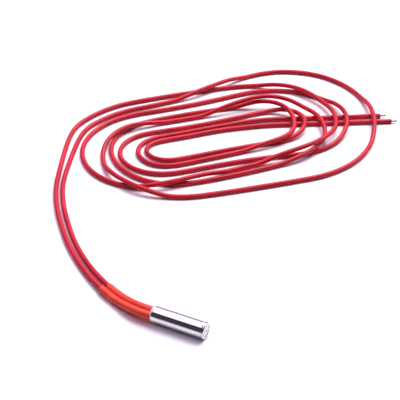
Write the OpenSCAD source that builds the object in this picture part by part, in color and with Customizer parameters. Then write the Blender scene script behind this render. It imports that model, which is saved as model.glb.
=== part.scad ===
// Cartridge heater: a steel sheath round a wound ceramic core, with two sleeved leads wound into a hank.
// The sheath lies along X with its closed end towards +X. The origin is the middle of its axis.

/* [Sheath] */
// Outside diameter of the steel sheath
sheath_diameter = 6; // [5.4:0.1:7]
// Length of the sheath, with its end cap
sheath_length = 20; // [18:0.5:40]
// Thickness of the sheath's wall
sheath_wall = 0.3; // [0.2:0.05:0.35]
// Bevel at the sheath's mouth and on both sides of the end cap's seam
edge_bevel = 0.08; // [0.04:0.01:0.12]

/* [End cap] */
// Thickness of the cap outside the tube
cap_thickness = 0.9; // [0.7:0.1:1.5]
// Length of the cap's spigot inside the tube
spigot_length = 0.8; // [0.5:0.1:1.5]
// Radius of the cap's rounded rim
rim_radius = 0.45; // [0.2:0.05:0.6]
// Diameter of the recessed face
face_diameter = 4.3; // [3:0.1:4.6]
// Depth of the recessed face
face_recess = 0.1; // [0.05:0.05:0.3]
// Diameter of the dimple in the middle of the face
dimple_diameter = 0.8; // [0.4:0.1:1.5]
// Depth of the dimple
dimple_depth = 0.25; // [0.1:0.05:0.4]

/* [Heating element] */
// Thickness of the packed oxide round the winding, which leaves the rest of the sheath's bore to the wound core
fill_thickness = 0.48; // [0.3:0.02:0.7]
// Diameter of the two bores through the core and of the holes in the top insulator
core_bore = 0.9; // [0.85:0.05:1.2]
// Distance between the axes of the two bores
core_bore_spacing = 1.7; // [1.4:0.1:2]
// Diameter of the resistance wire
wire_diameter = 0.3; // [0.15:0.05:0.35]
// Whole turns of the winding, which ends half a turn later
winding_turns = 13; // [6:1:16]
// Room at each end of the core for the winding's tail
tail_room = 0.45; // [0.4:0.05:0.8]
// Thickness of the insulating disc at each end of the core
insulator_thickness = 0.8; // [0.5:0.1:1.2]
// Diameter of each lead's bare conductor
conductor_diameter = 0.8; // [0.5:0.05:0.85]
// Depth to which the short conductor reaches into the core
short_conductor_reach = 3; // [1:0.5:6]

/* [Mouth] */
// Depth of the cement plug inside the sheath
plug_depth = 2.6; // [1.5:0.1:3.5]
// Height of the cement plug outside the sheath
plug_proud = 0.7; // [0.3:0.1:2]
// Thickness of the cement outside each lead, which sets how far apart the leads come out
plug_wall = 0.19; // [0.12:0.01:0.3]
// Drop of the plug's rounded edge
plug_edge = 0.3; // [0.1:0.05:0.35]
// Space between the plug and the top insulator, where the conductors close in
chamber_length = 1.8; // [1.4:0.1:3]

/* [Leads] */
// Diameter of each lead over its insulation
lead_diameter = 2; // [1.6:0.05:2.1]
// Length of the first sleeve
sleeve_length = 25; // [15:1:30]
// How much shorter the second sleeve is
sleeve_stagger = 2; // [0:0.5:4]
// Length of the first free end, outside the hank
free_end_length = 9; // [6:1:12]
// How much shorter the second free end is
free_end_stagger = 4; // [1:0.5:4]
// Length of bare conductor at each free end
bare_tip_length = 2.5; // [1:0.5:5]

/* [Fits] */
// Radial clearance of the pieces inside the sheath and of the leads in the plug
fit_clearance = 0.02; // [0.01:0.01:0.04]
// Radial clearance of each lead in its sleeve
sleeve_clearance = 0.08; // [0.06:0.01:0.12]
// Gap between the two sleeves, side by side
sleeve_gap = 0.04; // [0.03:0.01:0.1]
// Gap between the winding and the pieces beside it
winding_clearance = 0.05; // [0.04:0.01:0.1]

/* [Hidden] */
$fn = 72;

// Radii
sheath_radius = sheath_diameter / 2;
bore_radius = sheath_radius - sheath_wall;
filling_radius = bore_radius - fit_clearance;
wire_radius = wire_diameter / 2;
conductor_radius = conductor_diameter / 2;
lead_radius = lead_diameter / 2;
fill_bore_radius = filling_radius - fill_thickness;
winding_radius = fill_bore_radius - winding_clearance - wire_radius;
core_radius = winding_radius - wire_radius - winding_clearance;

// Distance of each lead, and of each core bore, from the sheath's axis
lead_offset = filling_radius - plug_wall - fit_clearance - lead_radius;
core_bore_offset = core_bore_spacing / 2;

// The sleeves fill the space between the two leads, side by side
sleeve_radius = lead_offset - sleeve_gap / 2;
sleeve_bore_radius = lead_radius + sleeve_clearance;

// Stations along the sheath, from the closed end to the mouth
closed_end = sheath_length / 2;
seam = closed_end - cap_thickness;
spigot_end = seam - spigot_length;
base_end = spigot_end - insulator_thickness;
core_front = base_end - tail_room;
mouth = -sheath_length / 2;
plug_inner = mouth + plug_depth;
top_start = plug_inner + chamber_length;
top_end = top_start + insulator_thickness;
core_back = top_end + tail_room;
plug_face = mouth - plug_proud;
floor_height = -sheath_radius;

// Sides of the round sections that follow a route
lead_sides = 8;
sleeve_sides = 16;
wire_sides = 6;
wire_steps_per_turn = 20;

// Length by which a cutter stands out of the piece that it cuts
overshoot = 1;

// Turn over which each tail of the winding closes in on its conductor
tail_turn = 60;
tail_radius = core_bore_offset + conductor_radius + wire_radius + winding_clearance;

// Route of the pair of leads, seen from the plug's face: x, y, how far the pair has come down from the axis
// to the floor (0 to 1) and how far it has changed from sleeves to bare leads (0 to 1)
pair_points = [
    [plug_depth + plug_proud, 0, 0, 0], [0, 0, 0, 0], [-2, 0, 0, 0], [-4.5, 0, 0, 0], [-9, 1, 0.35, 0],
    [-14, 2.8, 0.85, 0], [-19, 4.8, 1, 0], [-24, 7.2, 1, 0], [-32, 12, 1, 0.6], [-41, 18.5, 1, 1],
    [-49, 25.5, 1, 1], [-56, 33, 1, 1], [-63, 41, 1, 1], [-69.5, 50, 1, 1], [-76, 62, 1, 1]
];
rings_per_point = 2;
first_sleeve_ring = rings_per_point;
// Half the distance between the two leads where they have left their sleeves
free_half_gap = 1.35;

// Hank of the wound leads: a ring with straight sides and round ends, with a strip where the leads come in
// and one where their free ends come out
hank_centre = [-32, 117.5];
hank_heading = 48;
hank_straight = 48;
hank_radius = 44;
hank_band = 38;
hank_height = 5.5;
strip_margin = 0.3;
entry_strip_length = 26;
exit_point = [20, 162];
exit_heading = 30;
free_end_spacing = 5;

// Smooth curve through rows of numbers, with a given count of steps between each two rows
function between(a, b, c, d, t) =
    (2 * b + (c - a) * t + (2 * a - 5 * b + 4 * c - d) * t * t + (3 * b - a - 3 * c + d) * t * t * t) / 2;
function row_at(rows, i) =
    i < 0 ? 2 * rows[0] - rows[1]
    : i < len(rows) ? rows[i]
    : 2 * rows[len(rows) - 1] - rows[len(rows) - 2];
function smooth_rows(rows, steps) = [
    for (i = [0 : len(rows) - 2], k = [0 : steps - 1])
        between(row_at(rows, i - 1), row_at(rows, i), row_at(rows, i + 1), row_at(rows, i + 2), k / steps),
    rows[len(rows) - 1]
];
function mix(a, b, share) = a + (b - a) * share;
function clamp(value) = min(1, max(0, value));
function sum_to(values, i) = i < 0 ? 0 : values[i] + sum_to(values, i - 1);

// The pair's route in the part's own frame
route = smooth_rows(pair_points, rings_per_point);
last_station = len(route) - 1;
function route_plan(i) = [plug_face + route[i][0], route[i][1]];
function route_height(i) =
    -clamp(route[i][2]) * (sheath_radius - mix(sleeve_radius, lead_radius, clamp(route[i][3])));
function route_half_gap(i) = mix(lead_offset, free_half_gap, clamp(route[i][3]));
function route_direction(i) =
    let (step = route_plan(min(i + 1, last_station)) - route_plan(max(i - 1, 0)))
    step / norm(step);
entry_direction = route_direction(last_station);
entry_heading = atan2(entry_direction[1], entry_direction[0]);

// One ring across the route of a lead: side is 1 for the first lead and -1 for the second
function route_ring(i, side, radius, sides) =
    let (
        direction = route_direction(i),
        across = [-direction[1], direction[0], 0],
        plan = route_plan(i),
        centre = [plan[0], plan[1], route_height(i)] + across * side * route_half_gap(i)
    )
    [for (k = [0 : sides - 1])
        centre + radius * (across * cos(360 * k / sides) + [0, 0, sin(360 * k / sides)])];

// The rings of a sleeve end at its own length, between two rings of the route
step_lengths = [for (i = [first_sleeve_ring : last_station - 1]) norm(route_plan(i + 1) - route_plan(i))];
function sleeve_share(i, length) =
    clamp((length - sum_to(step_lengths, i - 1)) / step_lengths[i]);
function sleeve_rings(side, radius, length) =
    let (
        shares = [for (i = [0 : len(step_lengths) - 1]) sleeve_share(i, length)],
        used = [for (i = [0 : len(shares) - 1]) if (shares[i] > 0) i]
    )
    concat(
        [route_ring(first_sleeve_ring, side, radius, sleeve_sides)],
        [for (i = used)
            mix(route_ring(first_sleeve_ring + i, side, radius, sleeve_sides),
                route_ring(first_sleeve_ring + i + 1, side, radius, sleeve_sides), shares[i])]
    );
function reversed(rows) = [for (i = [len(rows) - 1 : -1 : 0]) rows[i]];

// Skin over a row of equal rings, either with an end face on both ends or joined from last ring to first
module swept(rings, joined = false) {
    sides = len(rings[0]);
    count = len(rings);
    polyhedron(
        points = [for (ring = rings) each ring],
        faces = concat(
            [for (i = [0 : count - (joined ? 1 : 2)], k = [0 : sides - 1])
                let (a = i * sides, b = (i + 1) % count * sides, next = (k + 1) % sides)
                each [[a + k, b + k, b + next], [a + k, b + next, a + next]]],
            joined ? [] : [[for (k = [0 : sides - 1]) k], [for (k = [sides - 1 : -1 : 0]) (count - 1) * sides + k]]
        )
    );
}

module along_x(from, to, radius, y = 0) {
    translate([from, y, 0]) rotate([0, 90, 0]) cylinder(h = to - from, r = radius);
}

// A profile of radius and station, turned about the sheath's axis
module turned(profile) {
    rotate([0, 90, 0]) rotate_extrude() polygon(profile);
}

function arc(centre, radius, from, to, steps = 8) =
    [for (k = [0 : steps]) centre + radius * [cos(mix(from, to, k / steps)), sin(mix(from, to, k / steps))]];

module sheath() {
    color("silver") turned([
        [bore_radius, mouth], [sheath_radius - edge_bevel, mouth], [sheath_radius, mouth + edge_bevel],
        [sheath_radius, seam - edge_bevel], [sheath_radius - edge_bevel, seam], [bore_radius, seam]
    ]);
}

module end_cap() {
    face = closed_end - face_recess;
    color("lightgray") turned(concat(
        [[0, spigot_end], [filling_radius, spigot_end], [filling_radius, seam],
         [sheath_radius - edge_bevel, seam], [sheath_radius, seam + edge_bevel]],
        arc([sheath_radius - rim_radius, closed_end - rim_radius], rim_radius, 0, 90),
        [[face_diameter / 2, closed_end], [face_diameter / 2 - face_recess, face],
         [dimple_diameter / 2, face], [0, face - dimple_depth]]
    ));
}

module base_insulator() {
    color("ivory") along_x(base_end, spigot_end, filling_radius);
}

// A round piece with the two holes that the conductors pass through
module two_bored(from, to, radius) {
    difference() {
        along_x(from, to, radius);
        for (side = [-1, 1]) along_x(from - overshoot, to + overshoot, core_bore / 2, side * core_bore_offset);
    }
}

module top_insulator() {
    color("ivory") two_bored(top_start, top_end, filling_radius);
}

module ceramic_core() {
    color("white") two_bored(core_back, core_front, core_radius);
}

// The wire starts beside the long conductor, winds along the core and ends beside the short one
module resistance_winding() {
    total_turn = 360 * winding_turns + 180;
    steps = ceil(wire_steps_per_turn * total_turn / 360);
    start = core_front + tail_room / 2;
    end = core_back - tail_room / 2;
    rings = [for (i = [0 : steps])
        let (
            turn = total_turn * i / steps,
            closing = max(0, 1 - turn / tail_turn, 1 - (total_turn - turn) / tail_turn),
            radius = mix(winding_radius, tail_radius, closing),
            station = mix(start, end, clamp((turn - tail_turn) / (total_turn - 2 * tail_turn))),
            outward = [0, cos(turn), sin(turn)]
        )
        [for (k = [0 : wire_sides - 1])
            [station, 0, 0] + outward * radius
            + wire_radius * (outward * cos(360 * k / wire_sides) + [sin(360 * k / wire_sides), 0, 0])]
    ];
    color("dimgray") swept(rings);
}

module insulating_fill() {
    color("gainsboro") difference() {
        along_x(top_end, base_end, filling_radius);
        along_x(top_end - overshoot, base_end + overshoot, fill_bore_radius);
    }
}

// A bare conductor from a lead's inner end, closing in to its bore and reaching as far as the given station
module conductor_tail(side, reach) {
    bend_steps = 8;
    bend = [for (k = [0 : bend_steps])
        let (share = k / bend_steps)
        [mix(plug_inner, top_start, share),
         side * mix(lead_offset, core_bore_offset, share * share * (3 - 2 * share))]];
    path = concat(bend, [[reach, side * core_bore_offset]]);
    color("lightsteelblue") swept([for (p = path)
        [for (k = [0 : lead_sides - 1])
            [p[0], p[1] - conductor_radius * cos(360 * k / lead_sides),
             conductor_radius * sin(360 * k / lead_sides)]]]);
}

module conductor_tail_1() {
    conductor_tail(-1, core_back + short_conductor_reach);
}

module conductor_tail_2() {
    conductor_tail(1, core_front + tail_room - winding_clearance);
}

module mouth_plug() {
    color("whitesmoke") difference() {
        turned(concat(
            [[0, plug_inner], [filling_radius, plug_inner]],
            reversed(arc([filling_radius - plug_edge, plug_face + plug_edge], plug_edge, -90, 0)),
            [[0, plug_face]]
        ));
        for (side = [-1, 1])
            along_x(plug_face - overshoot, plug_inner + overshoot, lead_radius + fit_clearance, side * lead_offset);
    }
}

module sleeve(side, length) {
    color("orangered") swept(concat(
        sleeve_rings(side, sleeve_radius, length),
        reversed(sleeve_rings(side, sleeve_bore_radius, length))
    ), joined = true);
}

module sleeve_1() {
    sleeve(1, sleeve_length);
}

module sleeve_2() {
    sleeve(-1, sleeve_length - sleeve_stagger);
}

module lead(side) {
    color("crimson") swept([for (i = [0 : last_station]) route_ring(i, side, lead_radius, lead_sides)]);
}

module lead_1() {
    lead(1);
}

module lead_2() {
    lead(-1);
}

module racetrack(radius) {
    square([hank_straight, 2 * radius], center = true);
    for (side = [-1, 1]) translate([side * hank_straight / 2, 0]) circle(radius);
}

module hank_place() {
    translate([plug_face, 0] + hank_centre) rotate(hank_heading) children();
}

module lead_hank() {
    entry_width = 2 * (free_half_gap + lead_radius + strip_margin);
    exit_width = free_end_spacing + 2 * (lead_radius + strip_margin);
    color("firebrick") translate([0, 0, floor_height]) linear_extrude(hank_height) difference() {
        union() {
            hank_place() racetrack(hank_radius);
            translate(route_plan(last_station)) rotate(entry_heading) translate([0, -entry_width / 2])
                square([entry_strip_length, entry_width]);
            translate([plug_face, 0] + exit_point) rotate(exit_heading)
                translate([-hank_band, -exit_width / 2]) square([hank_band, exit_width]);
        }
        hank_place() racetrack(hank_radius - hank_band);
    }
}

// Places what lies along a free end: x runs out of the hank, and side is 1 for the first end and -1 for the second
module free_end_place(side) {
    translate([plug_face + exit_point[0], exit_point[1], floor_height + lead_radius]) rotate(exit_heading)
        translate([0, -side * free_end_spacing / 2, 0]) children();
}

module lead_end(side, length) {
    color("crimson") free_end_place(side) swept([for (station = [0, length / 2, length])
        [for (k = [0 : lead_sides - 1])
            [station, lead_radius * cos(360 * k / lead_sides), lead_radius * sin(360 * k / lead_sides)]]]);
}

module wire_tip(side, start) {
    color("lightsteelblue") free_end_place(side) along_x(start, start + bare_tip_length, conductor_radius);
}

module lead_end_1() {
    lead_end(1, free_end_length);
}

module lead_end_2() {
    lead_end(-1, free_end_length - free_end_stagger);
}

module wire_tip_1() {
    wire_tip(1, free_end_length);
}

module wire_tip_2() {
    wire_tip(-1, free_end_length - free_end_stagger);
}

sheath();
end_cap();
base_insulator();
ceramic_core();
resistance_winding();
insulating_fill();
top_insulator();
conductor_tail_1();
conductor_tail_2();
mouth_plug();
sleeve_1();
sleeve_2();
lead_1();
lead_2();
lead_hank();
lead_end_1();
lead_end_2();
wire_tip_1();
wire_tip_2();
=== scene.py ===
"""Cartridge heater lying on a pale floor, with its two red leads wound into a loose hank."""
import math

import bmesh
import bpy
import numpy as np
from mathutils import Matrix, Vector, noise


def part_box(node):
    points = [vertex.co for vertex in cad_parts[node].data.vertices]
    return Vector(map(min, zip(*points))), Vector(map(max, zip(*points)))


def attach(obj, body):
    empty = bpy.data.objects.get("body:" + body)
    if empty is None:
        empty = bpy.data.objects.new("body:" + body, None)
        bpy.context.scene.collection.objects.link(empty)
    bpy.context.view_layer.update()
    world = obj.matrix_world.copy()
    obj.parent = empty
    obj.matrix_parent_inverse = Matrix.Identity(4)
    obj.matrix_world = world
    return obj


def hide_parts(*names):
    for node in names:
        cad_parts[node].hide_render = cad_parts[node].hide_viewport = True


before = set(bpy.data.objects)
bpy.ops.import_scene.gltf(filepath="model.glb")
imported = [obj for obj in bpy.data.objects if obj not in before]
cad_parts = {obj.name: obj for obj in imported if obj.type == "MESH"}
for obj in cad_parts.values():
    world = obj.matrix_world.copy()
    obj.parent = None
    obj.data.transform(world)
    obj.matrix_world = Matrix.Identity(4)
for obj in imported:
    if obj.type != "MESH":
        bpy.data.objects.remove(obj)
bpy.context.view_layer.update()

scene = bpy.context.scene

# Sizes taken from the frame, in metres
MM = 0.001
sheath_low, sheath_high = (Vector(corner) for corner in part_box("sheath"))
cap_low, cap_high = (Vector(corner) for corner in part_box("end_cap"))
plug_low, plug_high = (Vector(corner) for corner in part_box("mouth_plug"))
SHEATH_RADIUS = sheath_high.z
MOUTH_X = sheath_low.x
SEAM_X = sheath_high.x
FLOOR_Z = sheath_low.z
CAP_INNER_X = cap_low.x
CLOSED_END_X = cap_high.x
PLUG_RADIUS = plug_high.z
PLUG_FACE_X = plug_low.x
PLUG_INNER_X = plug_high.x

# All turned pieces: sides of a ring, the small hole left at the axis, and the gap between fitted pieces
TURNED_SIDES = 160
CENTRE_RADIUS = 0.01 * MM
FIT_CLEARANCE = 0.02 * MM

# Sheath
SHEATH_WALL = 0.3 * MM
EDGE_BEVEL = 0.08 * MM
SEAM_BEVEL = 0.04 * MM
SHEATH_RINGS = 60
BORE_RINGS = 8

# End cap
RIM_RADIUS = 0.45 * MM
RIM_STEPS = 14
FACE_RADIUS = 2.15 * MM
FACE_RECESS = 0.1 * MM
FACE_MARGIN = 0.3 * MM
FACE_RINGS = 10
RECESS_STEPS = 6
DIMPLE_RADIUS = 0.4 * MM
DIMPLE_DEPTH = 0.25 * MM
DIMPLE_EDGE = 0.05 * MM
DIMPLE_STEPS = 8

# Cement plug: its round edge, the size and depth of the lumps on its face, and how the lumps' noise is built
PLUG_EDGE = 0.3 * MM
PLUG_EDGE_STEPS = 8
PLUG_RINGS = 24
PASSAGE_SIDES = 48
CEMENT_LUMP = 0.8 * MM
CEMENT_SINK = 0.09 * MM
LUMP_FALL = 1.0
LUMP_GROWTH = 2.0
LUMP_OCTAVES = 3

# Leads: the side of the pair, seen along the way it runs from the plug, that each numbered lead lies on
LEFT = 1
RIGHT = -1
SIDES = {1: LEFT, 2: RIGHT}
LEAD_DIAMETER = 2.0 * MM
LEAD_RADIUS = LEAD_DIAMETER / 2
LEAD_SIDES = 20
CUT_EDGE = 0.06 * MM
# Half the distance between the two leads, in their sleeves and bare
LEAD_OFFSET = 1.47 * MM
BARE_OFFSET = 1.35 * MM

# Sleeves, with a worn lip at each cut end and a slow ripple along them
SLEEVE_RADIUS = 1.45 * MM
SLEEVE_BORE_RADIUS = 1.08 * MM
SLEEVE_LENGTHS = {LEFT: 25 * MM, RIGHT: 23 * MM}
SLEEVE_SIDES = 48
SLEEVE_STEP = 0.25 * MM
LIP_LENGTH = 0.1 * MM
LIP_DROP = 0.09 * MM
SHOULDER_DROP = 0.03 * MM
BORE_FLARE = 0.05 * MM
RIPPLE = 0.02 * MM
RIPPLE_LENGTH = 1.6 * MM
RIPPLE_SEED = 7

# Free ends and their bare tips: strands twisted round a middle one, and rooted inside the lead
FREE_END_LENGTHS = {LEFT: 9 * MM, RIGHT: 5 * MM}
BARE_TIP_LENGTH = 2.5 * MM
TIP_ROOT = 0.5 * MM
OUTER_STRANDS = 6
STRAND_RADIUS = 0.132 * MM
STRAND_LAY = 7 * MM
STRAND_SIDES = 10
STRAND_RINGS = 24
# Strands are cut up to this much short, in an order that jumps by this many strands
STRAND_STAGGER = 0.12 * MM
STAGGER_JUMP = 3

# Route of the pair of leads, in millimetres from the plug's face: x, y, how far the pair has come down from
# the axis to the floor (0 to 1) and how far it has changed from sleeves to bare leads (0 to 1)
PAIR_POINTS = [
    (3.3, 0, 0, 0), (0, 0, 0, 0), (-2, 0, 0, 0), (-4.5, 0, 0, 0), (-9, 1, 0.35, 0),
    (-14, 2.8, 0.85, 0), (-19, 4.8, 1, 0), (-24, 7.2, 1, 0), (-32, 12, 1, 0.6), (-41, 18.5, 1, 1),
    (-49, 25.5, 1, 1), (-56, 33, 1, 1), (-63, 41, 1, 1), (-69.5, 50, 1, 1), (-76, 62, 1, 1),
]
ROUTE_STEPS = 8
# How many of the route's last stretches are smoothed again together with the hank
REJOINED_STRETCHES = 2

# Hank: its place from the plug's face, its heading, and the ring that its turns fill, in millimetres
HANK_CENTRE = (-32, 117.5)
HANK_HEADING = math.radians(48)
HANK_HALF_STRAIGHT = 24
HANK_OUTER_RADIUS = 42.2
FIRST_TURN = 0.08
LAST_TURN = 3.26
STEPS_PER_TURN = 24
# How far in from the outer radius each lead lies at each quarter turn, from the left end round the back
TURN_OFFSETS = {
    LEFT: [0, 0, 12, 17, 7, 11, 7, 22, 22, 29, 26, 32, 33, 36, 36],
    RIGHT: [2.6, 5.5, -1, 1, 14.5, 22, 20, 13, 19, 18.5, 31, 28.5, 29.5, 33, 33.5],
}
OFFSET_STEPS = 24
# Loop of the second lead that strays out of the hank's back: its place in turns, its reach and its spread
STRAY_SIDE = RIGHT
STRAY_TURN = 0.40
STRAY_REACH = 13
STRAY_SPREAD = 0.10
# Small wander of every turn, in millimetres, and how many times it comes and goes in a turn
WANDER = 0.6
WANDERS_PER_TURN = 6
# Way out of the hank for the middle of the pair, along and across the hank, in millimetres
EXIT_POINTS = [(22, 5.4), (36, 1.2), (52, -4)]
# Where the free ends start from the plug's face, in millimetres, their heading and how far apart they lie
EXIT_PLACE = (20, 162)
EXIT_HEADING = math.radians(30)
FREE_END_SPACING = 5

# Laying the leads on each other: the step between points, the distance between the middles of crossing leads,
# the stretch of a lead that can't cross itself, the stretch near the plug that stays as it is, and how many
# turns later the second lead is laid
PATH_STEP = 1.0 * MM
STACKED_PITCH = 1.07 * LEAD_DIAMETER
SAME_STRETCH = 3 * LEAD_DIAMETER
FIXED_START = 60 * MM
LAYING_MARGIN = 0.1
LAYING_ROUNDS = 8
# Humps over a crossing: their fall, to be multiplied by the distance squared, and their reach in points
HUMP_CURVE = 7.6
HUMP_REACH = 40
# Softening: the first point that moves, the count of last points that stay, and the passes in plan and in
# height
SOFTENING_START = 45
KEPT_LAST = 4
SOFTENING_PASSES = 30
EASING_PASSES = 12

# Camera at the photograph's viewing angle
CAMERA_PLACE = (144.6 * MM, -272.0 * MM, 258.5 * MM)
CAMERA_PITCH = math.radians(34.085)
CAMERA_YAW = math.radians(26.745)
CAMERA_LENS = 106.2
CAMERA_SENSOR = 36
CAMERA_NEAR = 10 * MM

# Looks: the part of a grain's range that is used, and how far red, green and blue light run inside silicone,
# against each other
GRAIN_LOW = 0.3
GRAIN_HIGH = 0.7
RED_REACH = (1.0, 0.12, 0.10)
SILICONE = {
    "Specular_IOR_Level": 0.3, "Subsurface_Weight": 0.4, "Subsurface_Radius": RED_REACH,
    "Subsurface_Scale": 1.5 * MM,
}

# Floor and studio
FLOOR_HALF = 2.0
STUDIO_FRONT = (0.080, 0.062, 0.090)
STUDIO_BACK = (0.84, 0.76, 1.0)
STUDIO_STRENGTH = 0.7


# Curves

def smooth_rows(rows, steps):
    """Rows of numbers on a smooth curve through the given rows, with a count of steps between each two."""
    rows = [np.array(row, dtype=float) for row in rows]
    rows = [2 * rows[0] - rows[1]] + rows + [2 * rows[-1] - rows[-2]]
    result = []
    for a, b, c, d in zip(rows, rows[1:], rows[2:], rows[3:]):
        for k in range(steps):
            t = k / steps
            result.append((2 * b + (c - a) * t + (2 * a - 5 * b + 4 * c - d) * t * t
                           + (3 * b - a - 3 * c + d) * t ** 3) / 2)
    result.append(rows[-2])
    return np.array(result)


def arc_lengths(points):
    """Distance of each point of a curve from its start."""
    return np.concatenate([[0], np.cumsum(np.linalg.norm(np.diff(points, axis=0), axis=1))])


def points_at(points, stations):
    """Points of a curve at the given distances from its start."""
    lengths = arc_lengths(points)
    return np.stack([np.interp(stations, lengths, points[:, k]) for k in range(points.shape[1])], axis=1)


def resampled(points, step):
    """The same curve with points at an even step."""
    length = arc_lengths(points)[-1]
    count = int(round(length / step))
    return points_at(points, np.linspace(0, length, count + 1))


def softened(points, passes):
    """Evens out the bends of a lead, apart from its start and its last few points."""
    points = points.copy()
    first = SOFTENING_START
    last = len(points) - KEPT_LAST
    for _ in range(passes):
        before = points[first - 1:last - 1]
        after = points[first + 1:last + 1]
        points[first:last] = (before + 2 * points[first:last] + after) / 4
    return points


# Leads

def pair_route(side):
    """Centre line of one lead from inside the plug to the hank."""
    rows = smooth_rows(PAIR_POINTS, ROUTE_STEPS)
    plan = rows[:, :2] * MM + np.array([PLUG_FACE_X, 0])
    drop = np.clip(rows[:, 2], 0, 1)
    bare = np.clip(rows[:, 3], 0, 1)
    heights = -drop * (SHEATH_RADIUS - (SLEEVE_RADIUS + (LEAD_RADIUS - SLEEVE_RADIUS) * bare))
    offsets = LEAD_OFFSET + (BARE_OFFSET - LEAD_OFFSET) * bare
    direction = np.gradient(plan, axis=0)
    direction /= np.linalg.norm(direction, axis=1)[:, None]
    across = np.stack([-direction[:, 1], direction[:, 0]], axis=1)
    plan = plan + across * (side * offsets)[:, None]
    return np.column_stack([plan, heights])


def hank_to_floor(along, across):
    """Place on the floor of a point given along and across the hank."""
    x = HANK_CENTRE[0] + along * math.cos(HANK_HEADING) - across * math.sin(HANK_HEADING)
    y = HANK_CENTRE[1] + along * math.sin(HANK_HEADING) + across * math.cos(HANK_HEADING)
    return PLUG_FACE_X + x * MM, y * MM


def turn_place(turn):
    """Centre along the hank, and angle from it, of a ring with straight sides and round ends.

    The ring runs clockwise from the middle of its left end."""
    half_end = math.pi * HANK_OUTER_RADIUS / 2
    straight = 2 * HANK_HALF_STRAIGHT
    station = (turn % 1) * (4 * half_end + 2 * straight)
    quarter = math.pi / 2
    if station < half_end:
        return -HANK_HALF_STRAIGHT, math.pi - quarter * station / half_end
    station -= half_end
    if station < straight:
        return station - HANK_HALF_STRAIGHT, quarter
    station -= straight
    if station < 2 * half_end:
        return HANK_HALF_STRAIGHT, quarter - quarter * station / half_end
    station -= 2 * half_end
    if station < straight:
        return HANK_HALF_STRAIGHT - station, -quarter
    station -= straight
    return -HANK_HALF_STRAIGHT, -quarter - quarter * station / half_end


def turns(side):
    """Places on the floor of one lead's turns in the hank."""
    offsets = smooth_rows([(value,) for value in TURN_OFFSETS[side]], OFFSET_STEPS)[:, 0]
    quarters = np.linspace(0, (len(TURN_OFFSETS[side]) - 1) / 4, len(offsets))
    count = int(round((LAST_TURN - FIRST_TURN) * STEPS_PER_TURN))
    places = []
    for turn in np.linspace(FIRST_TURN, LAST_TURN, count + 1):
        radius = HANK_OUTER_RADIUS - np.interp(turn, quarters, offsets)
        radius += WANDER * noise.noise(Vector((turn * WANDERS_PER_TURN, side, 0)))
        if side == STRAY_SIDE:
            radius += STRAY_REACH * math.exp(-((turn - STRAY_TURN) / STRAY_SPREAD) ** 2)
        centre, angle = turn_place(turn)
        places.append(hank_to_floor(centre + radius * math.cos(angle), radius * math.sin(angle)))
    return places


def exit_frame(side):
    """Where one lead comes out of the hank, and the direction of its free end."""
    ahead = Vector((math.cos(EXIT_HEADING), math.sin(EXIT_HEADING), 0))
    aside = Vector((ahead.y, -ahead.x, 0)) * side * FREE_END_SPACING * MM / 2
    middle = Vector((PLUG_FACE_X + EXIT_PLACE[0] * MM, EXIT_PLACE[1] * MM, FLOOR_Z + LEAD_RADIUS))
    return middle + aside, ahead


def way_out(side):
    """Places on the floor of one lead from its last turn to its cut end."""
    places = [hank_to_floor(along, across - side * FREE_END_SPACING / 2) for along, across in EXIT_POINTS]
    start, ahead = exit_frame(side)
    for share in (0, 0.5, 1):
        place = start + ahead * FREE_END_LENGTHS[side] * share
        places.append((place.x, place.y))
    return places


def lead_plan(side):
    """Centre line of one whole lead, with the height that its route gives it."""
    route = pair_route(side)
    floor_height = FLOOR_Z + LEAD_RADIUS
    on_floor = [(x, y, floor_height) for x, y in turns(side) + way_out(side)]
    kept = len(route) - REJOINED_STRETCHES * ROUTE_STEPS - 1
    joined_rows = [tuple(row) for row in route[kept::ROUTE_STEPS]] + on_floor
    joined = np.concatenate([route[:kept], smooth_rows(joined_rows, ROUTE_STEPS)])
    return softened(resampled(joined, PATH_STEP), SOFTENING_PASSES)


def turns_round_hank(plan):
    """Angle of each point of a lead round the middle of the hank, in turns, without a jump."""
    away = plan[:, :2] - np.array(hank_to_floor(0, 0))
    return np.unwrap(np.arctan2(away[:, 1], away[:, 0])) / (2 * math.pi)


def humped(needed):
    """Lifts that pass over what is needed in long low humps."""
    lifts = needed.copy()
    for step in range(1, HUMP_REACH):
        fall = HUMP_CURVE * (step * PATH_STEP) ** 2
        lifts[step:] = np.maximum(lifts[step:], needed[:-step] - fall)
        lifts[:-step] = np.maximum(lifts[:-step], needed[step:] - fall)
    return lifts


def laid(plans):
    """Raises each lead where it lies on turns that were laid before it, from the cut ends to the plug."""
    places = np.concatenate([plan[:, :2] for plan in plans])
    base = np.concatenate([plan[:, 2] for plan in plans])
    number = np.concatenate([np.full(len(plan), k) for k, plan in enumerate(plans)])
    station = np.concatenate([np.arange(len(plan)) * PATH_STEP for plan in plans])
    order = np.concatenate([turns_round_hank(plan) for plan in plans]) + number * LAYING_MARGIN
    apart = np.linalg.norm(places[:, None, :] - places[None, :, :], axis=2)
    same_stretch = (number[:, None] == number) & (np.abs(station[:, None] - station) < SAME_STRETCH)
    fixed = station < FIXED_START
    crossing = (apart < STACKED_PITCH) & ~same_stretch & ~fixed[:, None] & ~fixed
    over, under = np.nonzero(crossing & (order[:, None] > order))
    rise = np.sqrt(STACKED_PITCH ** 2 - apart[over, under] ** 2)
    breaks = np.cumsum([len(plan) for plan in plans])[:-1]
    heights = base.copy()
    for _ in range(LAYING_ROUNDS):
        needed = base.copy()
        np.maximum.at(needed, over, heights[under] + rise)
        lifted = np.split(needed - base, breaks)
        heights = base + np.concatenate([humped(part) for part in lifted])
    result = []
    for plan, part in zip(plans, np.split(heights, breaks)):
        rows = np.column_stack([plan[:, :2], part])
        eased = softened(rows, EASING_PASSES)
        rows[:, 2] = eased[:, 2]
        result.append(rows)
    return result


# Meshes

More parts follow.
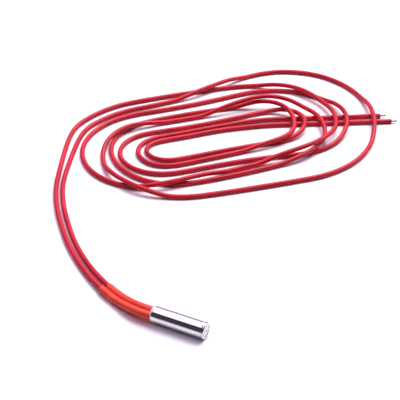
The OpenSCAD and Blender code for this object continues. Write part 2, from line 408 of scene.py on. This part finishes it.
def add_tube(work, rings, joined=False):
    """Adds a skin over a row of equal rings, with a map that runs along and around it in millimetres.

    Its last ring is joined to the first, or else both ends are closed."""
    layer = work.loops.layers.uv.verify()
    rows = [[work.verts.new(point) for point in ring] for ring in rings]
    sides = len(rows[0])
    along = [0.0]
    for lower, upper in zip(rings, rings[1:]):
        along.append(along[-1] + (upper[0] - lower[0]).length / MM)
    around = sum((rings[0][k] - rings[0][k - 1]).length for k in range(sides)) / MM
    pairs = list(zip(range(len(rows)), range(1, len(rows))))
    if joined:
        pairs.append((len(rows) - 1, 0))
    for low, high in pairs:
        for k in range(sides):
            after = (k + 1) % sides
            face = work.faces.new((rows[low][k], rows[high][k], rows[high][after], rows[low][after]))
            face.smooth = True
            corners = ((low, k), (high, k), (high, k + 1), (low, k + 1))
            for loop, (row, column) in zip(face.loops, corners):
                loop[layer].uv = (along[row], around * column / sides)
    if not joined:
        work.faces.new(rows[0])
        work.faces.new(reversed(rows[-1]))


def new_piece(name, work):
    """Piece in the scene with the finished mesh, whose faces all look outwards."""
    bmesh.ops.recalc_face_normals(work, faces=work.faces)
    mesh = bpy.data.meshes.new(name)
    work.to_mesh(mesh)
    work.free()
    piece = bpy.data.objects.new(name, mesh)
    scene.collection.objects.link(piece)
    return piece


def skin(name, rings, joined=False):
    """Piece made of one skin over a row of equal rings."""
    work = bmesh.new()
    add_tube(work, rings, joined)
    return new_piece(name, work)


def circles(path, radii, sides):
    """Rings across a path, turned as little as possible from one to the next."""
    points = [Vector(point) for point in path]
    normal = Vector((0, 0, 1))
    rings = []
    for i, (point, radius) in enumerate(zip(points, radii)):
        ahead = (points[min(i + 1, len(points) - 1)] - points[max(i - 1, 0)]).normalized()
        normal = (normal - ahead * normal.dot(ahead)).normalized()
        aside = ahead.cross(normal)
        angles = (2 * math.pi * k / sides for k in range(sides))
        rings.append([point + (normal * math.cos(a) + aside * math.sin(a)) * radius for a in angles])
    return rings


def turned(profile):
    """Rings of a profile of radius and station, turned about the sheath's axis."""
    angles = [2 * math.pi * k / TURNED_SIDES for k in range(TURNED_SIDES)]
    return [[Vector((station, radius * math.cos(a), radius * math.sin(a))) for a in angles]
            for radius, station in profile]


def arc(centre_radius, centre_station, radius, first, last, steps):
    """Points of a round corner in a profile of radius and station."""
    angles = [math.radians(first + (last - first) * k / steps) for k in range(steps + 1)]
    return [(centre_radius + radius * math.cos(a), centre_station + radius * math.sin(a)) for a in angles]


# Materials

class Nodes:
    """Builds the nodes of a material or of the world."""

    def __init__(self, owner, shader):
        self.owner = owner
        owner.use_nodes = True
        self.tree = owner.node_tree
        self.shader = self.tree.nodes[shader]

    def add(self, kind, **values):
        """New node, with values for its sockets and its settings."""
        node = self.tree.nodes.new(kind)
        for key, value in values.items():
            if key in node.inputs:
                node.inputs[key].default_value = value
            else:
                setattr(node, key, value)
        return node

    def link(self, start, end):
        self.tree.links.new(start, end)

    def set(self, **values):
        """Sets constant values on the shader."""
        for key, value in values.items():
            self.shader.inputs[key.replace("_", " ")].default_value = value

    def feed(self, **outputs):
        """Links outputs of nodes to the shader."""
        for key, output in outputs.items():
            self.link(output, self.shader.inputs[key.replace("_", " ")])

    def place(self, stretch, mapped=False):
        """Coordinates of the surface, or of its map along and around, with a stretch for each axis."""
        coordinates = self.add("ShaderNodeTexCoord")
        mapping = self.add("ShaderNodeMapping", Scale=stretch)
        self.link(coordinates.outputs["UV" if mapped else "Object"], mapping.inputs["Vector"])
        return mapping.outputs["Vector"]

    def grain(self, stretch, detail, roughness=0.5, mapped=False):
        """Noise with grains of a size given by the stretch."""
        node = self.add("ShaderNodeTexNoise", Scale=1.0, Detail=detail, Roughness=roughness)
        self.link(self.place(stretch, mapped), node.inputs["Vector"])
        return node.outputs["Fac"]

    def ramp(self, value, stops):
        """Colours that run through the given stops of position and colour."""
        node = self.add("ShaderNodeValToRGB")
        elements = node.color_ramp.elements
        for position, _ in stops[1:-1]:
            elements.new(position)
        for element, (position, colour) in zip(elements, stops):
            element.position = position
            element.color = (*colour, 1)
        self.link(value, node.inputs["Fac"])
        return node.outputs["Color"]

    def colours(self, grain, dark, light):
        """Colours from dark to light over the middle of a grain's range."""
        return self.ramp(grain, [(GRAIN_LOW, dark), (GRAIN_HIGH, light)])

    def spread(self, value, low, high, start=GRAIN_LOW, end=GRAIN_HIGH):
        """Maps start to end, or else the middle of a grain's range, onto low to high."""
        ranges = {"From Min": start, "From Max": end, "To Min": low, "To Max": high}
        node = self.add("ShaderNodeMapRange", **ranges)
        self.link(value, node.inputs["Value"])
        return node.outputs["Result"]

    def bump(self, height, strength, distance, under=None):
        """Surface direction of a relief, on top of another relief if one is given."""
        node = self.add("ShaderNodeBump", Strength=strength, Distance=distance)
        self.link(height, node.inputs["Height"])
        if under is not None:
            self.link(under, node.inputs["Normal"])
        return node.outputs["Normal"]


def material_nodes(name):
    """Nodes of a new material."""
    return Nodes(bpy.data.materials.new(name), "Principled BSDF")


def even(stretch):
    """The same stretch for all three axes."""
    return (stretch, stretch, stretch)


def steel_material():
    """Polished steel with fine marks round the tube and fainter drawn lines along it."""
    nodes = material_nodes("polished_steel")
    clouds = nodes.grain(even(400), detail=2)
    marks = nodes.grain((9000, 220, 220), detail=4)
    drawn = nodes.grain((160, 5000, 5000), detail=3)
    under = nodes.bump(drawn, strength=0.012, distance=0.02 * MM)
    nodes.feed(
        Base_Color=nodes.colours(clouds, (0.72, 0.71, 0.715), (0.80, 0.79, 0.795)),
        Roughness=nodes.spread(marks, 0.09, 0.16),
        Normal=nodes.bump(marks, strength=0.016, distance=0.02 * MM, under=under),
    )
    nodes.set(Metallic=1.0)
    return nodes.owner


def cap_material():
    """Turned steel of the end cap, with rings on its face, painted shade in its groove and dimple, and a
    painted highlight on its rounded rim.
    """
    nodes = material_nodes("turned_steel")
    clouds = nodes.grain(even(900), detail=3)
    rings = nodes.add("ShaderNodeTexWave", wave_type="RINGS", rings_direction="X", Scale=2600, Distortion=2)
    nodes.link(nodes.place(even(1)), rings.inputs["Vector"])
    # Distance from the axis, and what follows, as shares of the sheath's radius
    distance = nodes.add("ShaderNodeVectorMath", operation="LENGTH")
    nodes.link(nodes.place((0, 1 / SHEATH_RADIUS, 1 / SHEATH_RADIUS)), distance.inputs[0])
    dimple = DIMPLE_RADIUS / SHEATH_RADIUS
    dimple_fade = 0.05
    groove = FACE_RADIUS / SHEATH_RADIUS
    groove_half = 0.02
    groove_fade = 0.08
    # Painted light: the base colour is darkened in the dimple and in the recessed groove round the face as
    # painted shade, and made lighter on the rounded rim as a painted highlight
    painted_recess_shade = (0.22, 0.215, 0.225)
    face = (0.46, 0.45, 0.465)
    painted_rim_highlight = (0.62, 0.61, 0.62)
    painted_cap_tones = [
        (0, painted_recess_shade), (dimple, painted_recess_shade), (dimple + dimple_fade, face), (groove - groove_fade, face),
        (groove - groove_half, painted_recess_shade), (groove + groove_half, painted_recess_shade), (groove + groove_fade, painted_rim_highlight),
    ]
    nodes.feed(
        Base_Color=nodes.ramp(distance.outputs["Value"], painted_cap_tones),
        Roughness=nodes.spread(clouds, 0.16, 0.27),
        Normal=nodes.bump(rings.outputs["Fac"], strength=0.06, distance=0.02 * MM),
    )
    nodes.set(Metallic=1.0)
    return nodes.owner


def lead_material():
    """Satin red silicone with faint lines along the lead."""
    nodes = material_nodes("red_lead")
    clouds = nodes.grain(even(90), detail=3)
    lines = nodes.grain((0.15, 6, 1), detail=3, mapped=True)
    specks = nodes.grain(even(4200), detail=2)
    under = nodes.bump(lines, strength=0.18, distance=0.05 * MM)
    nodes.feed(
        Base_Color=nodes.colours(clouds, (0.44, 0.005, 0.019), (0.585, 0.011, 0.033)),
        Roughness=nodes.spread(clouds, 0.38, 0.50),
        Normal=nodes.bump(specks, strength=0.10, distance=0.03 * MM, under=under),
    )
    nodes.set(**SILICONE)
    return nodes.owner


def sleeve_material():
    """Orange sleeve whose fine braid shows through its satin coat."""
    nodes = material_nodes("orange_sleeve")
    clouds = nodes.grain(even(220), detail=3)
    specks = nodes.grain(even(2500), detail=2)
    braid = None
    for lean in (1, -1):
        wave = nodes.add("ShaderNodeTexWave", wave_type="BANDS", bands_direction="DIAGONAL", Scale=0.9)
        nodes.link(nodes.place((1, lean, 1), mapped=True), wave.inputs["Vector"])
        braid = nodes.bump(wave.outputs["Fac"], strength=0.22, distance=0.04 * MM, under=braid)
    nodes.feed(
        Base_Color=nodes.colours(clouds, (0.74, 0.054, 0.028), (0.88, 0.084, 0.046)),
        Roughness=nodes.spread(clouds, 0.40, 0.52),
        Normal=nodes.bump(specks, strength=0.14, distance=0.03 * MM, under=braid),
    )
    nodes.set(**SILICONE)
    return nodes.owner


def mineral_material(name, dark, light, grain_size, strength):
    """Matt ceramic, cement or oxide with grains of a given size."""
    nodes = material_nodes(name)
    grains = nodes.grain(even(1 / grain_size), detail=5, roughness=0.6)
    nodes.feed(
        Base_Color=nodes.colours(grains, dark, light),
        Roughness=nodes.spread(grains, 0.75, 0.95),
        Normal=nodes.bump(grains, strength, distance=grain_size / 4),
    )
    return nodes.owner


def wire_material(name, dark, light):
    """Drawn metal wire with small stains."""
    nodes = material_nodes(name)
    stains = nodes.grain(even(1800), detail=3)
    nodes.feed(
        Base_Color=nodes.colours(stains, dark, light),
        Roughness=nodes.spread(stains, 0.35, 0.47),
        Normal=nodes.bump(stains, strength=0.05, distance=0.01 * MM),
    )
    nodes.set(Metallic=1.0)
    return nodes.owner


def floor_material():
    """White glossy board with a faint grain."""
    nodes = material_nodes("floor")
    grains = nodes.grain(even(60), detail=2)
    nodes.feed(Base_Color=nodes.colours(grains, (0.90, 0.895, 0.905), (0.92, 0.915, 0.925)))
    nodes.set(Roughness=0.12, Specular_IOR_Level=0.5)
    return nodes.owner


# Pieces

def dress(piece, material, slot, *nodes):
    """Gives a piece its material, its place in the frame and the CAD nodes that it replaces."""
    piece.data.materials.append(material)
    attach(piece, "root")
    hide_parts(*nodes)
    return piece


def make_lead(number, path, material):
    """One wound lead, with both ends cut square and their edges a little worn."""
    edges = points_at(path, arc_lengths(path)[[0, -1]] + np.array([CUT_EDGE, -CUT_EDGE]))
    rows = np.concatenate([path[:1], edges[:1], path[1:-1], edges[1:], path[-1:]])
    radii = np.full(len(rows), LEAD_RADIUS)
    radii[[0, -1]] -= CUT_EDGE
    lead = skin("lead_%d_wound" % number, circles(rows, radii, LEAD_SIDES))
    replaced = ["lead_%d" % number, "lead_end_%d" % number]
    if number == 1:
        replaced.append("lead_hank")
    return dress(lead, material, "red_lead", *replaced)


def make_sleeve(number, side, material):
    """One sleeve with a true wall, slightly uneven, with a worn lip at each cut end."""
    route = pair_route(side)
    start = arc_lengths(route)[ROUTE_STEPS]
    length = SLEEVE_LENGTHS[side]
    inside = np.arange(LIP_LENGTH, length - LIP_LENGTH / 2, SLEEVE_STEP)
    stations = np.concatenate([[0, LIP_LENGTH / 3], inside, [length - LIP_LENGTH / 3, length]])
    path = points_at(route, start + stations)
    outer = np.full(len(stations), SLEEVE_RADIUS)
    outer[[0, -1]] -= LIP_DROP
    outer[[1, -2]] -= SHOULDER_DROP
    for i, station in enumerate(stations):
        outer[i] -= RIPPLE * (1 + noise.noise(Vector((station / RIPPLE_LENGTH, RIPPLE_SEED * side, 0))))
    bore = np.full(len(stations), SLEEVE_BORE_RADIUS)
    bore[[0, -1]] += BORE_FLARE
    rings = circles(path, outer, SLEEVE_SIDES) + circles(path, bore, SLEEVE_SIDES)[::-1]
    sleeve = skin("sleeve_%d_coated" % number, rings, joined=True)
    return dress(sleeve, material, "orange_sleeve", "sleeve_%d" % number)


def make_tip(number, side, material):
    """Bare end of the conductor: strands twisted round a middle one, cut at slightly different lengths."""
    way_start, ahead = exit_frame(side)
    start = way_start + ahead * (FREE_END_LENGTHS[side] - TIP_ROOT)
    aside = Vector((-ahead.y, ahead.x, 0))
    up = Vector((0, 0, 1))
    strands = OUTER_STRANDS + 1
    work = bmesh.new()
    for strand in range(strands):
        reach = 2 * STRAND_RADIUS if strand else 0
        cut_short = STRAND_STAGGER * (strand * STAGGER_JUMP % strands) / strands
        path = []
        for station in np.linspace(0, BARE_TIP_LENGTH + TIP_ROOT - cut_short, STRAND_RINGS):
            angle = 2 * math.pi * (strand / OUTER_STRANDS + station / STRAND_LAY)
            path.append(start + ahead * station + (aside * math.cos(angle) + up * math.sin(angle)) * reach)
        add_tube(work, circles(path, [STRAND_RADIUS] * STRAND_RINGS, STRAND_SIDES))
    tip = new_piece("wire_tip_%d_strands" % number, work)
    return dress(tip, material, "tinned_strand", "wire_tip_%d" % number)


def make_sheath(material):
    """Thin steel tube with a bevelled mouth and a bevel at the cap's seam."""
    inner = SHEATH_RADIUS - SHEATH_WALL
    outside = np.linspace(MOUTH_X + EDGE_BEVEL, SEAM_X - SEAM_BEVEL, SHEATH_RINGS)
    inside = np.linspace(SEAM_X, MOUTH_X, BORE_RINGS)[1:-1]
    profile = [(inner, MOUTH_X), (SHEATH_RADIUS - EDGE_BEVEL, MOUTH_X)]
    profile += [(SHEATH_RADIUS, station) for station in outside]
    profile += [(SHEATH_RADIUS - SEAM_BEVEL, SEAM_X), (inner, SEAM_X)]
    profile += [(inner, station) for station in inside]
    sheath = skin("sheath_polished", turned(profile), joined=True)
    return dress(sheath, material, "polished_steel", "sheath")


def make_cap(material):
    """End cap with a rounded rim, a recessed face and a dimple in its middle."""
    inner = SHEATH_RADIUS - SHEATH_WALL - FIT_CLEARANCE
    face_x = CLOSED_END_X - FACE_RECESS
    face_radii = np.linspace(FACE_RADIUS - FACE_MARGIN, DIMPLE_RADIUS + DIMPLE_EDGE, FACE_RINGS)
    profile = [(CENTRE_RADIUS, CAP_INNER_X), (inner, CAP_INNER_X), (inner, SEAM_X)]
    profile += [(SHEATH_RADIUS - SEAM_BEVEL, SEAM_X), (SHEATH_RADIUS, SEAM_X + SEAM_BEVEL)]
    profile += arc(SHEATH_RADIUS - RIM_RADIUS, CLOSED_END_X - RIM_RADIUS, RIM_RADIUS, 0, 90, RIM_STEPS)
    profile += [(FACE_RADIUS + CENTRE_RADIUS, CLOSED_END_X)]
    profile += arc(FACE_RADIUS - FACE_RECESS, CLOSED_END_X, FACE_RECESS, 0, -90, RECESS_STEPS)
    profile += [(radius, face_x) for radius in face_radii]
    for k in range(DIMPLE_STEPS, 0, -1):
        share = k / DIMPLE_STEPS
        profile.append((DIMPLE_RADIUS * share, face_x - DIMPLE_DEPTH * (1 - share ** 2)))
    cap = skin("end_cap_turned", turned(profile))
    return dress(cap, material, "polished_steel", "end_cap")


def bored(piece, length, radius):
    """Cuts the passages of both leads through a piece, along the sheath's axis."""
    middle = PLUG_FACE_X + length / 2
    cutters = []
    for side in SIDES.values():
        line = [(middle - length, -side * LEAD_OFFSET, 0), (middle + length, -side * LEAD_OFFSET, 0)]
        cutter = skin("cutter", circles(line, [radius, radius], PASSAGE_SIDES))
        modifier = piece.modifiers.new("passage", "BOOLEAN")
        modifier.object = cutter
        modifier.solver = "MANIFOLD"
        cutters.append(cutter)
    seen = piece.evaluated_get(bpy.context.evaluated_depsgraph_get())
    mesh = bpy.data.meshes.new_from_object(seen)
    mesh.name = piece.name
    piece.modifiers.clear()
    piece.data = mesh
    for cutter in cutters:
        bpy.data.objects.remove(cutter)
    return piece


def make_plug(material):
    """Cement plug with an uneven, hand-filled face and a passage for each lead."""
    edge_x = PLUG_FACE_X + PLUG_EDGE
    face_radius = PLUG_RADIUS - PLUG_EDGE
    profile = [(CENTRE_RADIUS, PLUG_INNER_X)]
    profile += [(PLUG_RADIUS, station) for station in np.linspace(PLUG_INNER_X, edge_x, PLUG_RINGS)]
    profile += arc(face_radius, edge_x, PLUG_EDGE, 0, -90, PLUG_EDGE_STEPS)[1:]
    profile += [(radius, PLUG_FACE_X) for radius in np.linspace(face_radius, CENTRE_RADIUS, PLUG_RINGS)[1:]]
    rings = turned(profile)
    for ring in rings:
        for point in ring:
            proud = min(1, max(0, (MOUTH_X - point.x) / PLUG_EDGE))
            lump = 0.5 + 0.5 * noise.fractal(point / CEMENT_LUMP, LUMP_FALL, LUMP_GROWTH, LUMP_OCTAVES)
            sunk = CEMENT_SINK * proud * min(1, max(0, lump))
            point.x += sunk
            point.yz = point.yz * (1 - sunk / PLUG_RADIUS)
    plug = bored(skin("mouth_plug_cement", rings), PLUG_INNER_X - PLUG_FACE_X, LEAD_RADIUS + FIT_CLEARANCE)
    return dress(plug, material, "cement", "mouth_plug")


# Studio

def make_camera():
    """Camera that looks at the part from the photograph's angle."""
    data = bpy.data.cameras.new("camera")
    data.sensor_width = CAMERA_SENSOR
    data.lens = CAMERA_LENS
    data.clip_start = CAMERA_NEAR
    camera = bpy.data.objects.new("camera", data)
    camera.location = CAMERA_PLACE
    camera.rotation_euler = (math.pi / 2 - CAMERA_PITCH, 0, CAMERA_YAW)
    scene.collection.objects.link(camera)
    scene.camera = camera


def make_floor():
    """Flat board that the part lies on."""
    signs = ((-1, -1), (1, -1), (1, 1), (-1, 1))
    corners = [(x * FLOOR_HALF, y * FLOOR_HALF, FLOOR_Z) for x, y in signs]
    mesh = bpy.data.meshes.new("floor")
    mesh.from_pydata(corners, [], [(0, 1, 2, 3)])
    mesh.materials.append(floor_material())
    floor = bpy.data.objects.new("floor", mesh)
    scene.collection.objects.link(floor)


def make_world():
    """Pale studio, bright at the back and above, and dim at the front."""
    scene.world = bpy.data.worlds.new("studio")
    nodes = Nodes(scene.world, "Background")
    coordinates = nodes.add("ShaderNodeTexCoord")
    direction = nodes.add("ShaderNodeSeparateXYZ")
    nodes.link(coordinates.outputs["Generated"], direction.inputs["Vector"])
    backward = nodes.spread(direction.outputs["Y"], 0.0, 1.0, start=0.0, end=0.35)
    upward = nodes.spread(direction.outputs["Z"], 0.7, 1.0, start=0.20, end=0.60)
    lit = nodes.add("ShaderNodeMath", operation="MULTIPLY")
    nodes.link(backward, lit.inputs[0])
    nodes.link(upward, lit.inputs[1])
    nodes.feed(Color=nodes.ramp(lit.outputs["Value"], [(0, STUDIO_FRONT), (1, STUDIO_BACK)]))
    nodes.set(Strength=STUDIO_STRENGTH)


def make_softbox(name, place, target, width, depth, power, colour):
    """Area light that looks at a point."""
    data = bpy.data.lights.new(name, "AREA")
    data.shape = "RECTANGLE"
    data.color = colour
    data.size = width
    data.size_y = depth
    data.energy = power
    light = bpy.data.objects.new(name, data)
    light.location = place
    light.rotation_euler = (Vector(target) - light.location).to_track_quat("-Z", "Y").to_euler()
    scene.collection.objects.link(light)


make_camera()

red = lead_material()
orange = sleeve_material()
tinned = wire_material("tinned_strand", dark=(0.20, 0.19, 0.20), light=(0.38, 0.37, 0.38))
lead_paths = laid([lead_plan(side) for side in SIDES.values()])
for (lead_number, lead_side), lead_path in zip(SIDES.items(), lead_paths):
    lead = make_lead(lead_number, lead_path, red)
    sleeve = make_sleeve(lead_number, lead_side, orange)
    tip = make_tip(lead_number, lead_side, tinned)

cement = mineral_material("cement", dark=(0.70, 0.66, 0.58), light=(0.88, 0.85, 0.79),
                          grain_size=0.25 * MM, strength=0.35)
make_sheath(steel_material())
make_cap(cap_material())
make_plug(cement)

# Finishes of the CAD nodes inside the sheath
ceramic = mineral_material("white_ceramic", dark=(0.80, 0.77, 0.70), light=(0.90, 0.88, 0.83),
                           grain_size=0.2 * MM, strength=0.1)
oxide = mineral_material("packed_oxide", dark=(0.74, 0.74, 0.72), light=(0.88, 0.88, 0.86),
                         grain_size=0.12 * MM, strength=0.3)
resistance = wire_material("resistance_wire", dark=(0.24, 0.22, 0.21), light=(0.42, 0.40, 0.38))
inner_finishes = {
    "base_insulator": ceramic, "ceramic_core": ceramic, "top_insulator": ceramic, "insulating_fill": oxide,
    "resistance_winding": resistance, "conductor_tail_1": tinned, "conductor_tail_2": tinned,
}
for node_name, finish in inner_finishes.items():
    node_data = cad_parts[node_name].data
    node_data.materials.clear()
    node_data.materials.append(finish)

make_floor()
make_world()
make_softbox("strip", place=(-0.36, 0.28, 0.80), target=(-0.36, 0.28, 0), width=0.75, depth=1.4,
             power=5.8, colour=(0.92, 0.76, 1.0))
make_softbox("key", place=(0.12, 0.72, 1.05), target=(-0.02, 0.07, 0), width=0.8, depth=0.8,
             power=19.0, colour=(1.0, 1.0, 1.0))
scene.view_settings.view_transform = "Standard"
